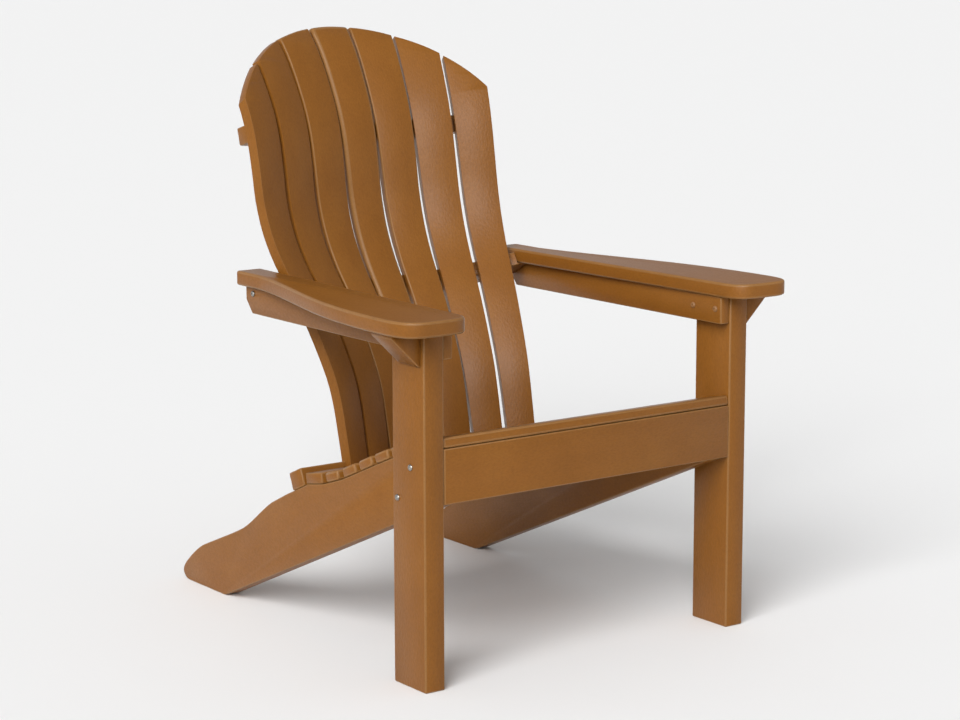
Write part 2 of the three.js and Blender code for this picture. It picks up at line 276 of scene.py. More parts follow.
def bezier(start: Point, lean_out: Point, lean_in: Point, end: Point, steps: int = 12) -> list[Point]:
    """Points along a cubic curve, without its first point.

    Args:
        start: Where the curve starts.
        lean_out: The control point by its start.
        lean_in: The control point by its end.
        end: Where the curve ends.
        steps: How many points are made.

    Returns:
        The points, the last of them the end.
    """
    points = []
    for i in range(1, steps + 1):
        t = i / steps
        w = ((1 - t) ** 3, 3 * (1 - t) ** 2 * t, 3 * (1 - t) * t * t, t ** 3)
        points.append(tuple(
            sum(k * p[axis] for k, p in zip(w, (start, lean_out, lean_in, end))) for axis in (0, 1)
        ))
    return points


def bow(start: Point, pull: Point, end: Point, steps: int = 12) -> list[Point]:
    """Points along a quadratic curve, without its first point.

    Args:
        start: Where the curve starts.
        pull: The point that it bends towards.
        end: Where the curve ends.
        steps: How many points are made.

    Returns:
        The points, the last of them the end.
    """
    out = tuple((s + 2 * p) / 3 for s, p in zip(start, pull))
    into = tuple((e + 2 * p) / 3 for e, p in zip(end, pull))
    return bezier(start, out, into, end, steps)


# --------------------------------------------------------------------------- bench tools


def clear_selection() -> None:
    """Leave edit mode and deselect everything, so that the next operator acts on new work only."""
    if bpy.context.mode != "OBJECT":
        bpy.ops.object.mode_set(mode="OBJECT")
    bpy.ops.object.select_all(action="DESELECT")


def take(piece: bpy.types.Object) -> None:
    """Select one piece alone and make it active.

    Args:
        piece: The piece to work on next.
    """
    clear_selection()
    piece.select_set(True)
    bpy.context.view_layer.objects.active = piece


def pick(piece: bpy.types.Object, faces: Callable | None = None, points: Callable | None = None) -> None:
    """Enter edit mode with only some of a piece's faces or vertices selected.

    Args:
        piece: The piece to work on.
        faces: Test that a face passes to be selected.
        points: Test that a vertex passes to be selected.
    """
    take(piece)
    bpy.ops.object.mode_set(mode="EDIT")
    bpy.ops.mesh.select_mode(type="FACE" if faces else "VERT")
    bpy.ops.mesh.select_all(action="DESELECT")
    bpy.ops.object.mode_set(mode="OBJECT")
    parts, test = (piece.data.polygons, faces) if faces else (piece.data.vertices, points)
    for part in parts:
        part.select = bool(test(part))
    bpy.ops.object.mode_set(mode="EDIT")


def settle(piece: bpy.types.Object) -> None:
    """Apply a piece's place, turn and size to its mesh."""
    take(piece)
    bpy.ops.object.transform_apply(location=True, rotation=True, scale=True)


def tidy_normals(piece: bpy.types.Object) -> None:
    """Merge a piece's doubles and turn all its faces outward.

    Args:
        piece: The piece to clean up.
    """
    take(piece)
    bpy.ops.object.mode_set(mode="EDIT")
    bpy.ops.mesh.select_all(action="SELECT")
    bpy.ops.mesh.remove_doubles(threshold=0.02 * MM)
    bpy.ops.mesh.normals_make_consistent(inside=False)
    bpy.ops.object.mode_set(mode="OBJECT")


def block(name: str, low: Sequence[float], high: Sequence[float]) -> bpy.types.Object:
    """A cube primitive fitted between two corners.

    Args:
        name: The piece's name.
        low: Lowest corner, in metres.
        high: Highest corner, in metres.

    Returns:
        The new piece.
    """
    clear_selection()
    centre = [(a + b) / 2 for a, b in zip(low, high)]
    size = [b - a for a, b in zip(low, high)]
    bpy.ops.mesh.primitive_cube_add(size=1, location=centre, scale=size)
    piece = bpy.context.object
    piece.name = name
    settle(piece)
    return piece


def board(
    name: str, points: Iterable[Point], place: Callable[[float, float], Vector], thickness: Vector,
) -> bpy.types.Object:
    """Saw a board: trace its outline from one corner, fill it, and draw it out to its thickness.

    Args:
        name: The piece's name.
        points: The outline in millimetres.
        place: Puts an outline point in space, in metres.
        thickness: The way and distance that the face is drawn out, in metres.

    Returns:
        The new piece.
    """
    spots = [place(a, b) for a, b in points]
    clear_selection()
    bpy.ops.mesh.primitive_plane_add(size=MM, location=spots[0])
    piece = bpy.context.object
    piece.name = name
    bpy.ops.object.mode_set(mode="EDIT")
    bpy.ops.mesh.select_all(action="SELECT")
    bpy.ops.mesh.merge(type="CENTER")
    for here, there in zip(spots, spots[1:]):
        bpy.ops.mesh.extrude_region_move(TRANSFORM_OT_translate={"value": there - here})
    bpy.ops.mesh.select_all(action="SELECT")
    bpy.ops.mesh.remove_doubles(threshold=0.01 * MM)
    bpy.ops.mesh.edge_face_add()
    bpy.ops.mesh.select_all(action="SELECT")
    bpy.ops.mesh.extrude_region_move(TRANSFORM_OT_translate={"value": thickness})
    bpy.ops.mesh.select_all(action="SELECT")
    bpy.ops.mesh.normals_make_consistent(inside=False)
    bpy.ops.object.mode_set(mode="OBJECT")
    settle(piece)
    return piece


def ease(piece: bpy.types.Object, radius: float, segments: int = 3, angle: float = 32.0) -> None:
    """Round over every edge sharper than an angle, and mark the rounds for the paler edge material, a
    painted highlight.

    Args:
        piece: The piece to work on.
        radius: Size of the round-over, in millimetres.
        segments: Facets across the round.
        angle: The least angle between faces that is rounded, in degrees.
    """
    take(piece)
    while len(piece.data.materials) <= EDGE_HIGHLIGHT_SLOT:
        piece.data.materials.append(None)
    work = piece.modifiers.new("round_over", "BEVEL")
    # the rounds take the paler edge material: a painted highlight
    work.material = EDGE_HIGHLIGHT_SLOT
    work.width = radius * MM
    work.segments = segments
    work.limit_method = "ANGLE"
    work.angle_limit = math.radians(angle)
    work.harden_normals = True
    work.use_clamp_overlap = True
    bpy.ops.object.modifier_apply(modifier=work.name)


def carve(piece: bpy.types.Object, tool: bpy.types.Object, operation: str = "DIFFERENCE") -> None:
    """Cut a tool out of a piece, or keep only what the two share.

    Args:
        piece: The piece to cut.
        tool: The cutting shape, which is kept.
        operation: DIFFERENCE or INTERSECT.
    """
    take(piece)
    work = piece.modifiers.new("cut", "BOOLEAN")
    work.object = tool
    work.operation = operation
    work.solver = "EXACT"
    bpy.ops.object.modifier_apply(modifier=work.name)


def scrap(*tools: bpy.types.Object) -> None:
    """Throw cutting shapes away."""
    for tool in tools:
        bpy.data.objects.remove(tool, do_unlink=True)


def copy_of(piece: bpy.types.Object, name: str, change: Matrix) -> bpy.types.Object:
    """Copy a piece with its own mesh and put the copy in its place.

    Args:
        piece: The piece to copy.
        name: The copy's name.
        change: Where the copy goes, as a matrix.

    Returns:
        The copy, with its place in its mesh.
    """
    take(piece)
    bpy.ops.object.duplicate(linked=False)
    copy = bpy.context.object
    copy.name = name
    copy.matrix_world = change
    settle(copy)
    if change.determinant() < 0:
        tidy_normals(copy)
    return copy


def mirror_copy(piece: bpy.types.Object, name: str) -> bpy.types.Object:
    """Copy a piece to the other side of the chair's middle plane."""
    return copy_of(piece, name, Matrix.Scale(-1, 4, Vector((1, 0, 0))))


def finish_piece(piece: bpy.types.Object, finishes: Finishes, node: str) -> None:
    """Give a piece its finish and its place in the frame.

    Args:
        piece: The finished piece.
        finishes: Its materials: the one on its faces, and on lumber the paler one on its rounded edges, a
            painted highlight.
        node: The CAD node that it stands for.
    """
    marks = [face.material_index for face in piece.data.polygons]
    piece.data.materials.clear()
    for finish in finishes:
        piece.data.materials.append(finish)
    for face, mark in zip(piece.data.polygons, marks):
        face.material_index = min(mark, len(finishes) - 1)
    take(piece)
    bpy.ops.object.shade_smooth_by_angle(angle=SHARP)
    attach(piece, BODY)
    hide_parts(node)
    log.info("%s: %d faces", piece.name, len(piece.data.polygons))


# --------------------------------------------------------------------------- sub-assemblies


@dataclass
class Workshop:
    """What every sub-assembly shares: the finishes and where the legs' front faces are."""

    lumber_x: Finishes
    lumber_y: Finishes
    lumber_z: Finishes
    steel: Finishes
    coated: Finishes
    front: float = 0.0

    def side_view(self, x: float) -> Callable[[float, float], Vector]:
        """Place of a side profile's point: behind the legs' front and above the floor."""
        return lambda y, z: Vector((x * MM, self.front + y * MM, z * MM))

    def plan_view(self, z: float) -> Callable[[float, float], Vector]:
        """Place of a plan's point: to the side and behind the legs' front."""
        return lambda x, y: Vector((x * MM, self.front + y * MM, z * MM))


@dataclass
class Legs:
    """The two uprights, standing outside the stringers from the floor to the arms."""

    shop: Workshop
    edge: float = 2.6

    def build(self) -> None:
        """Make both legs."""
        for side in Side:
            node = f"front_leg_{side.word}"
            low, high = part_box(node)
            leg = block(f"{node}_board", low, high)
            ease(leg, self.edge, 4)
            finish_piece(leg, self.shop.lumber_z, node)


@dataclass
class Stringers:
    """The two sloping side boards, with a seat contour above and a shaped foot behind."""

    shop: Workshop
    edge: float = 2.2
    seat_line: tuple[Point, ...] = (
        (0, 395.5), (53, 384.5), (103, 369.6), (153, 352.6), (200, 333.4), (248.5, 312.6),
        (301, 290.6), (357, 272.5),
    )
    front: float = 19.3
    nose: float = 854.0
    front_bottom: float = 298.0
    front_drop: float = 4.3
    slat_gap: float = 0.3
    cleat_seat: tuple[Point, ...] = ((476, 232.9), (413, 260.1))
    shoulder: Point = (410, 262.1)

    def outline(self) -> list[Point]:
        """The side profile in millimetres, from the front lower corner back to it.

        Returns:
            The outline's points, behind the legs' front and above the floor.
        """
        points: list[Point] = [(self.front, self.front_bottom), (692, 3.6)]
        points += bow((692, 3.6), (700, 0), (710, 0), 4)
        points += [(832, 0)]
        points += bow((832, 0), (850, 1), (self.nose, 14), 6)
        points += bow((self.nose, 14), (855, 24), (838, 38), 6)
        points += bow((838, 38), (800, 70), (772, 81.5), 6)
        points += bezier((772, 81.5), (720, 103), (660, 126), (630, 141), 10)
        points += bezier((630, 141), (590, 163), (555, 196), (520, 212), 10)
        points += list(self.cleat_seat) + [self.shoulder]
        points += [(y, z - self.slat_gap) for y, z in reversed(self.seat_line[1:])]
        points += [(self.front, self.seat_line[0][1] - self.front_drop)]
        return points

    def build(self) -> None:
        """Make the right stringer and its mirror image."""
        low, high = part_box("stringer_right")
        place = self.shop.side_view(low[0] / MM)
        right = board("stringer_right_board", self.outline(), place, Vector((high[0] - low[0], 0, 0)))
        ease(right, self.edge, 4, 28)
        left = mirror_copy(right, "stringer_left_board")
        for piece, side in ((right, Side.RIGHT), (left, Side.LEFT)):
            finish_piece(piece, self.shop.lumber_y, f"stringer_{side.word}")


@dataclass
class Seat:
    """The apron, its nosing, the contoured slats and the curved board behind them."""

    shop: Workshop
    seat_line: tuple[Point, ...] = Stringers.seat_line
    half_width: float = 298.7
    slat_thick: float = 17.0
    slat_width: float = 41.0
    nosing_width: float = 44.0
    slat_edge: float = 4.0
    apron_thick: float = 19.0
    apron_edge: float = 2.4
    rear_front: float = 364.0
    rear_top: float = 290.5
    rear_slope: float = 0.19
    rear_thick: float = 19.0
    rear_side: float = 52.0
    rear_middle: float = 99.0
    rear_bow_starts: float = 228.0
    rear_bow_pull: float = 110.0

    def build(self) -> bpy.types.Object:
        """Make the seat boards.

        Returns:
            The rear seat board, which the back slats are still to be cut from.
        """
        self.build_apron()
        master = self.build_slat("seat_board_master", self.slat_width)
        nosing = self.build_slat("nosing_master", self.nosing_width)
        for i, (here, there) in enumerate(zip(self.seat_line, self.seat_line[1:])):
            run, rise = there[0] - here[0], there[1] - here[1]
            spare = 0.0 if i == 0 else (math.hypot(run, rise) - self.slat_width) / 2
            turn = Matrix.Rotation(math.atan2(rise, run), 4, "X")
            node = "seat_nosing" if i == 0 else f"seat_slat_{i}"
            place = Matrix.Translation((0, self.shop.front + here[0] * MM, here[1] * MM))
            slide = Matrix.Translation((0, spare * MM, 0))
            slat = copy_of(nosing if i == 0 else master, f"{node}_board", place @ turn @ slide)
            finish_piece(slat, self.shop.lumber_x, node)
        scrap(master, nosing)
        return self.build_rear_board()

    def build_slat(self, name: str, width: float) -> bpy.types.Object:
        """Make one straight slat lying at the origin, with routed edges.

        Args:
            name: The slat's name.
            width: Its width in millimetres.

        Returns:
            The slat.
        """
        half = self.half_width * MM
        slat = block(name, (-half, 0, 0), (half, width * MM, self.slat_thick * MM))
        ease(slat, self.slat_edge, 5)
        return slat

    def build_apron(self) -> None:
        """Make the front apron, its top planed to the nosing's slope."""
        low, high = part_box("front_apron")
        slope = (self.seat_line[0][1] - self.seat_line[1][1]) / self.seat_line[1][0]
        top = high[2] / MM
        outline = [
            (0, low[2] / MM), (self.apron_thick, low[2] / MM),
            (self.apron_thick, top - slope * self.apron_thick), (0, top),
        ]
        place = self.shop.side_view(low[0] / MM)
        apron = board("front_apron_board", outline, place, Vector((high[0] - low[0], 0, 0)))
        ease(apron, self.apron_edge, 4)
        finish_piece(apron, self.shop.lumber_x, "front_apron")

    def build_rear_board(self) -> bpy.types.Object:
        """Make the board behind the slats, bowed along its rear edge.

        Returns:
            The board, still without its notches.
        """
        half, side, middle = self.half_width, self.rear_side, self.rear_middle
        start, pull = self.rear_bow_starts, self.rear_bow_pull
        outline = [(-half, 0), (half, 0), (half, side), (start, side)]
        outline += bow((start, side), (pull, middle), (0, middle), 14)
        outline += bow((0, middle), (-pull, middle), (-start, side), 14)
        outline += [(-half, side)]
        rear = board(
            "rear_seat_board_board", outline, lambda x, y: Vector((x, y, -self.rear_thick)) * MM,
            Vector((0, 0, self.rear_thick * MM)),
        )
        rear.matrix_world = (
            Matrix.Translation((0, self.shop.front + self.rear_front * MM, self.rear_top * MM))
            @ Matrix.Rotation(-math.atan(self.rear_slope), 4, "X")
        )
        settle(rear)
        return rear


@dataclass
class Rank:
    """Where a back slat stands, counted outward from the middle one.

    Turn is in degrees, and across, depth and trim are millimetres. Splay and drift are how far the
    slat moves outward and back over RANK_RUN millimetres of height.
    """

    turn: float = 0.0
    across: float = 0.0
    splay: float = 0.0
    depth: float = 0.0
    drift: float = 0.0
    trim: float = 0.0


@dataclass
class BackSlats:
    """Seven slats bent to one S profile, fanned out, set on a concave sweep and arched on top."""

    shop: Workshop
    lean: float = 14.57
    base_y: float = 640.0
    base_z: float = 640.0
    foot: float = -440.0
    tall: float = 412.0
    thick: float = 18.7
    edge: float = 6.0
    width_low: float = 57.4
    width_high: float = 76.2
    width_from: float = -300.0
    width_span: float = 600.0
    arch_radius: float = 312.0
    arch_centre: float = 96.0
    arch_foot: float = -520.0
    arch_deep: float = 500.0
    arch_facets: int = 96
    rings: int = 44
    bends: tuple[Point, ...] = (
        (-450, -66), (-360, -72), (-270, -74), (-200, -62), (-120, -40), (-40, -10), (20, 4),
        (80, 7), (140, 2), (200, -1), (260, 4), (350, 25), (420, 54),
    )
    ranks: tuple[Rank, ...] = (
        Rank(),
        Rank(9, 74.9, 1.6, -5, 1.6),
        Rank(18.5, 148.1, 4.6, -21.6, 2.7),
        Rank(21.9, 218.8, 10.9, -46.7, 2, 2.8),
    )

    def bend(self, height: float) -> float:
        """Depth of the bend, by a smooth curve through its stations.

        Args:
            height: Millimetres up the slat from the base point.

        Returns:
            Millimetres behind the lean line.
        """
        stations = self.bends
        last = len(stations) - 1
        i = next((k for k in range(last) if stations[k + 1][0] > height), last - 1)

        def slope(k: int) -> float:
            """Slope of the curve at a station."""
            before, after = stations[max(k - 1, 0)], stations[min(k + 1, last)]
            return (after[1] - before[1]) / (after[0] - before[0])

        (s0, d0), (s1, d1) = stations[i], stations[i + 1]
        t = (height - s0) / (s1 - s0)
        rise = t * t * (3 - 2 * t)
        ends = t * (1 - t) ** 2 * slope(i) + t * t * (t - 1) * slope(i + 1)
        return d0 + (d1 - d0) * rise + (s1 - s0) * ends

    def width(self, height: float, trim: float) -> float:
        """Width of a slat at a height, in millimetres."""
        share = (height - self.width_from) / self.width_span
        return self.width_low - trim + (self.width_high - self.width_low) * share

    def straight_blank(self, name: str, grow: float) -> bpy.types.Object:
        """Plane a straight blank and score it into rings.

        Args:
            name: The blank's name.
            grow: Millimetres added all round, for a cutting tool.

        Returns:
            The blank, one unit wide.
        """
        low = (-0.5, -grow * MM, (self.foot - grow) * MM)
        high = (0.5, (self.thick + grow) * MM, (self.tall + grow) * MM)
        blank = block(name, low, high)
        take(blank)
        bpy.ops.object.mode_set(mode="EDIT")
        step = (self.tall - self.foot) / self.rings
        for i in range(1, self.rings):
            bpy.ops.mesh.select_all(action="SELECT")
            bpy.ops.mesh.bisect(plane_co=(0, 0, (self.foot + step * i) * MM), plane_no=(0, 0, 1))
        bpy.ops.object.mode_set(mode="OBJECT")
        return blank

    def bent_slat(self, name: str, trim: float, grow: float = 0.0) -> bpy.types.Object:
        """Bend and taper a blank, ring by ring.

        Args:
            name: The slat's name.
            trim: Millimetres that the slat is narrower than the others.
            grow: Millimetres added all round, for a cutting tool.

        Returns:
            The bent slat, upright at the origin.
        """
        slat = self.straight_blank(name, grow)
        heights = sorted({round(v.co.z, 6) for v in slat.data.vertices})
        for height in heights:
            pick(slat, points=lambda v, at=height: abs(v.co.z - at) < 0.01 * MM)
            wide = (self.width(height / MM, trim) + 2 * grow) * MM
            bpy.ops.transform.resize(value=(wide, 1, 1), center_override=(0, 0, height))
            bpy.ops.transform.translate(value=(0, self.bend(height / MM) * MM, 0))
        tidy_normals(slat)
        return slat

    def lean_frame(self) -> Matrix:
        """Matrix from the upright slat's frame to the chair's."""
        spot = Vector((0, self.shop.front + self.base_y * MM, self.base_z * MM))
        return Matrix.Translation(spot) @ Matrix.Rotation(-math.radians(self.lean), 4, "X")

    def stand(self, step: int) -> Matrix:
        """Matrix that stands a slat in the fan.

        Args:
            step: Steps from the middle slat, negative to the left.

        Returns:
            The slat's place.
        """
        rank = self.ranks[abs(step)]
        side = (step > 0) - (step < 0)
        shift = Matrix.Translation(Vector((side * rank.across, rank.depth, 0)) * MM)
        splay = Matrix.Rotation(side * math.atan(rank.splay / RANK_RUN), 4, "Y")
        drift = Matrix.Rotation(-math.atan(rank.drift / RANK_RUN), 4, "X")
        turn = Matrix.Rotation(-side * math.radians(rank.turn), 4, "Z")
        return self.lean_frame() @ shift @ splay @ drift @ turn

    def arch_tool(self) -> bpy.types.Object:
        """Make the round-headed block that the fan's tops are sawn to.

        Returns:
            The block, leaning with the back.
        """
        radius, centre = self.arch_radius, self.arch_centre
        outline: list[Point] = [(-radius, self.arch_foot), (radius, self.arch_foot)]
        for i in range(self.arch_facets + 1):
            angle = math.pi * i / self.arch_facets
            outline.append((radius * math.cos(angle), centre + radius * math.sin(angle)))
        tool = board(
            "arch_tool", outline, lambda x, z: Vector((x, -self.arch_deep / 2, z)) * MM,
            Vector((0, self.arch_deep * MM, 0)),
        )
        tool.matrix_world = self.lean_frame()
        settle(tool)
        return tool

    def build(self) -> None:
        """Make the seven slats."""
        arch = self.arch_tool()
        plain = self.bent_slat("slat_master", 0.0)
        narrow = self.bent_slat("outer_slat_master", self.ranks[3].trim)
        for step in range(-3, 4):
            node = f"back_slat_{step + 4}"
            master = narrow if abs(step) == 3 else plain
            slat = copy_of(master, f"{node}_board", self.stand(step))
            carve(slat, arch, "INTERSECT")
            tidy_normals(slat)
            ease(slat, self.edge, 5, 40)
            finish_piece(slat, self.shop.lumber_z, node)
        scrap(arch, plain, narrow)

    def cutters(self, grow: float) -> list[bpy.types.Object]:
        """Make grown slats that notch the cross boards.

        Args:
            grow: Millimetres of clearance round each slat.

        Returns:
            The seven cutting tools.
        """
        plain = self.bent_slat("cutter_master", 0.0, grow)
        narrow = self.bent_slat("outer_cutter_master", self.ranks[3].trim, grow)
        tools = []
        for step in range(-3, 4):
            master = narrow if abs(step) == 3 else plain
            tools.append(copy_of(master, f"slat_cutter_{step + 4}", self.stand(step)))
        scrap(plain, narrow)
        return tools


@dataclass(frozen=True)
class CrossBoard:
    """A curved board behind the back, tilted square to the slats and notched for them."""

    node: str
    y: float
    z: float
    tilt: float
    thick: float
    radius: float
    width: float
    wing: float
    half: float
    rear_end: float
    bow_pull: float = 0.45
    facets: int = 36
    edge: float = 2.4

    def outline(self) -> list[Point]:
        """Plan in millimetres: a swept front edge, straight wings and a bowed rear edge.

        Returns:
            The outline's points, measured from the middle of the front edge.
        """
        sag = self.radius - math.sqrt(self.radius ** 2 - self.wing ** 2)
        reach = math.asin(self.wing / self.radius)
        points: list[Point] = [(-self.half, self.rear_end), (-self.half, -sag)]
        for i in range(self.facets + 1):
            angle = -reach + 2 * reach * i / self.facets
            points.append((self.radius * math.sin(angle), self.radius * (math.cos(angle) - 1)))
        points += [(self.half, -sag), (self.half, self.rear_end)]
        pull = self.half * self.bow_pull
        points += bow((self.half, self.rear_end), (pull, self.width), (0, self.width), 18)
        points += bow((0, self.width), (-pull, self.width), (-self.half, self.rear_end), 18)[:-1]
        return points

    def build(self, shop: Workshop, tools: Sequence[bpy.types.Object]) -> None:
        """Make the board.

        Args:
            shop: The shared finishes and origin.
            tools: What is cut out of it after its edges are eased.
        """
        piece = board(
            f"{self.node}_board", self.outline(), lambda x, y: Vector((x, y, -self.thick)) * MM,
            Vector((0, 0, self.thick * MM)),
        )
        piece.matrix_world = (
            Matrix.Translation((0, shop.front + self.y * MM, self.z * MM))
            @ Matrix.Rotation(-math.radians(self.tilt), 4, "X")
        )
        settle(piece)
        ease(piece, self.edge, 4)
        for tool in tools:
            carve(piece, tool)
        tidy_normals(piece)
        finish_piece(piece, shop.lumber_x, self.node)


@dataclass
class BackBoards:
    """The boards that house the back slats: the rear seat board and the three cross boards."""

    shop: Workshop
    loose_fit: float = 2.5
    tight_fit: float = 0.3
    rear_edge: float = 2.2
    rail_faces: tuple[float, float] = (257.4, 330.0)
    lower: CrossBoard = CrossBoard(
        "lower_back_cleat", y=489, z=262.1, tilt=23.3, thick=31.7, radius=360, width=46,
        wing=203, half=298.7, rear_end=-21.8,
    )
    upper: CrossBoard = CrossBoard(
        "upper_back_cleat", y=710.5, z=846, tilt=15.6, thick=31.7, radius=600, width=42,
        wing=255, half=262, rear_end=-24,
    )
    arm_level: CrossBoard = CrossBoard(
        "arm_level_cross_board", y=615.5, z=572.3, tilt=30, thick=25.4, radius=560, width=62,
        wing=279.4, half=279.4, rear_end=-14,
    )

    def build(self, back: BackSlats, rear_board: bpy.types.Object) -> None:
        """Notch the rear seat board, then make the cross boards round the slats.

        Args:
            back: The slats that are housed.
            rear_board: The rear seat board, still without its notches.
        """
        loose = back.cutters(self.loose_fit)
        ease(rear_board, self.rear_edge, 4)
        for tool in loose:
            carve(rear_board, tool)
        tidy_normals(rear_board)
        finish_piece(rear_board, self.shop.lumber_x, "rear_seat_board")
        scrap(*loose)
        tight = back.cutters(self.tight_fit)
        corners = self.arm_corners()
        self.lower.build(self.shop, tight)
        self.upper.build(self.shop, tight)
        self.arm_level.build(self.shop, [*tight, *corners])
        scrap(*tight, *corners)

    def arm_corners(self) -> list[bpy.types.Object]:
        """Make the two blocks that clear the arms from the arm-level board's ends.

        Returns:
            The right block and the left one.
        """
        low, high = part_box("arm_right")
        bottom, top = low[2] - self.tight_fit * MM, low[2] + 60 * MM
        blocks = []
        for side in Side:
            across = sorted(side.value * face * MM for face in self.rail_faces)
            spans = ((across[0], low[1], bottom), (across[1], high[1] + 100 * MM, top))
            blocks.append(block(f"arm_notch_{side.word}", *spans))
        return blocks


@dataclass
class Arms:
    """The paddle-shaped arms, the rails under their inner edges and the brackets outside."""

    shop: Workshop
    edge: float = 4.6
    rail_edge: float = 2.4
    bracket_edge: float = 1.3
    sawn_run: float = 20.0
    sawn_rise: float = 23.5
    bracket_foot: float = 4.0
    bracket_lip: float = 5.7

    def plan(self) -> list[Point]:
        """The right arm's plan in millimetres, behind the legs' front.

        Returns:
            The outline's points, from the rear inner corner forward and round.
        """
        points: list[Point] = [(258, 616), (274, 2)]
        points += bezier((274, 2), (274, -30), (284, -46), (314, -47), 12)
        points += bezier((314, -47), (326, -48), (338, -48), (350, -48), 5)
        points += bezier((350, -48), (388, -49), (403, -33), (402, 20), 14)
        points += bezier((402, 20), (401, 130), (388, 210), (368, 290), 16)
        points += bezier((368, 290), (350, 365), (318, 470), (309, 545), 14)
        points += [(308, 616)]
        points += bow((308, 616), (308, 621), (303, 621), 4)
        points += [(263, 621)]
        points += bow((263, 621), (258, 621), (258, 616), 4)[:-1]
        return points

    def rail_outline(self, low: Sequence[float], high: Sequence[float]) -> list[Point]:
        """The rail's side profile with its rear lower corner sawn off.

        Args:
            low: The rail's lowest corner, in metres.
            high: The rail's highest corner, in metres.

        Returns:
            The outline in millimetres.
        """
        front, rear = (v / MM - self.shop.front / MM for v in (low[1], high[1]))
        bottom, top = low[2] / MM, high[2] / MM
        sawn = [(rear - self.sawn_run, bottom), (rear, bottom + self.sawn_rise)]
        return [(front, bottom), *sawn, (rear, top), (front, top)]

    def build(self) -> None:
        """Make the right arm, rail and bracket, and their mirror images."""
        shop = self.shop
        low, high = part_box("arm_right")
        thickness = Vector((0, 0, high[2] - low[2]))
        arm = board("arm_right_board", self.plan(), shop.plan_view(low[2] / MM), thickness)
        ease(arm, self.edge, 6)
        tidy_normals(arm)
        low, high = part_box("arm_rail_right")
        rail = board(
            "arm_rail_right_board", self.rail_outline(low, high), shop.side_view(low[0] / MM),
            Vector((high[0] - low[0], 0, 0)),
        )
        ease(rail, self.rail_edge, 4)
        low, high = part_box("arm_bracket_right")
        inner, outer, bottom, top = low[0] / MM, high[0] / MM, low[2] / MM, high[2] / MM
        slant = [(inner + self.bracket_foot, bottom), (outer, top - self.bracket_lip)]
        outline = [(inner, bottom), *slant, (outer, top), (inner, top)]
        bracket = board(
            "arm_bracket_right_board", outline, lambda x, z: Vector((x * MM, low[1], z * MM)),
            Vector((0, high[1] - low[1], 0)),
        )
        ease(bracket, self.bracket_edge, 3)
        for right, name in ((arm, "arm"), (rail, "arm_rail"), (bracket, "arm_bracket")):
            left = mirror_copy(right, f"{name}_left_board")
            grain = shop.lumber_z if name == "arm_bracket" else shop.lumber_y
            finish_piece(right, grain, f"{name}_right")
            finish_piece(left, grain, f"{name}_left")


@dataclass
class Hardware:
    """Dome-headed stainless bolts and screws with a hexagon socket."""

    shop: Workshop
    head_radius: float = 5.2
    head_high: float = 2.9
    shank_radius: float = 3.0
    socket_radius: float = 2.0
    socket_deep: float = 1.5
    dome_rim: float = 2.1

    def master(self, length: float) -> bpy.types.Object:
        """Turn one bolt lying along +X, its head's underside at the origin.

        Args:
            length: Length of the shank in millimetres.

        Returns:
            The bolt.
        """
        clear_selection()
        bpy.ops.mesh.primitive_cylinder_add(
            vertices=40, radius=self.head_radius * MM, depth=self.head_high * MM,
            location=(0, 0, self.head_high / 2 * MM),
        )
        bolt = bpy.context.object
        bolt.name = "bolt_master"
        settle(bolt)
        pick(bolt, faces=lambda face: face.normal.z < -0.9)
        bpy.ops.mesh.inset(thickness=(self.head_radius - self.shank_radius) * MM)
        bpy.ops.mesh.extrude_region_move(TRANSFORM_OT_translate={"value": (0, 0, -length * MM)})
        bpy.ops.object.mode_set(mode="OBJECT")
        self.dome(bolt)
        clear_selection()
        bpy.ops.mesh.primitive_cylinder_add(
            vertices=6, radius=self.socket_radius * MM, depth=2 * self.socket_deep * MM,
            location=(0, 0, self.head_high * MM),
        )
        socket = bpy.context.object
        settle(socket)
        carve(bolt, socket)
        scrap(socket)
        bolt.matrix_world = Matrix.Rotation(math.pi / 2, 4, "Y")
        settle(bolt)
        return bolt

    def dome(self, bolt: bpy.types.Object) -> None:
        """Round the head's rim into a dome.

        Args:
            bolt: The upright bolt, its head's flat top still square.
        """
        pick(bolt, faces=lambda face: face.normal.z > 0.9 and face.center.z > 0.9 * self.head_high * MM)
        bpy.ops.mesh.bevel(offset=self.dome_rim * MM, segments=6, profile=0.5)
        bpy.ops.object.mode_set(mode="OBJECT")

    def build(self) -> None:
        """Make every bolt and screw on its CAD place."""
        masters: dict[float, bpy.types.Object] = {}
        for name in ("leg_bolt_1", "leg_bolt_2", "rail_bolt_1", "rail_bolt_2", "rear_rail_screw"):
            for side in Side:
                node = f"{name}_{side.word}"
                low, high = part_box(node)
                outward = side.value * (-1 if name.startswith("rail_bolt") else 1)
                length = round((high[0] - low[0]) / MM - self.head_high, 1)
                if length not in masters:
                    masters[length] = self.master(length)
                seat = (high[0] - self.head_high * MM) if outward > 0 else (low[0] + self.head_high * MM)
                spot = Vector((seat, (low[1] + high[1]) / 2, (low[2] + high[2]) / 2))
                turn = Matrix.Rotation(0 if outward > 0 else math.pi, 4, "Z")
                bolt = copy_of(masters[length], f"{node}_steel", Matrix.Translation(spot) @ turn)
                coated = name.startswith("rail_bolt")
                finish = self.shop.coated if coated else self.shop.steel
                finish_piece(bolt, finish, node)
        scrap(*masters.values())


# --------------------------------------------------------------------------- studio


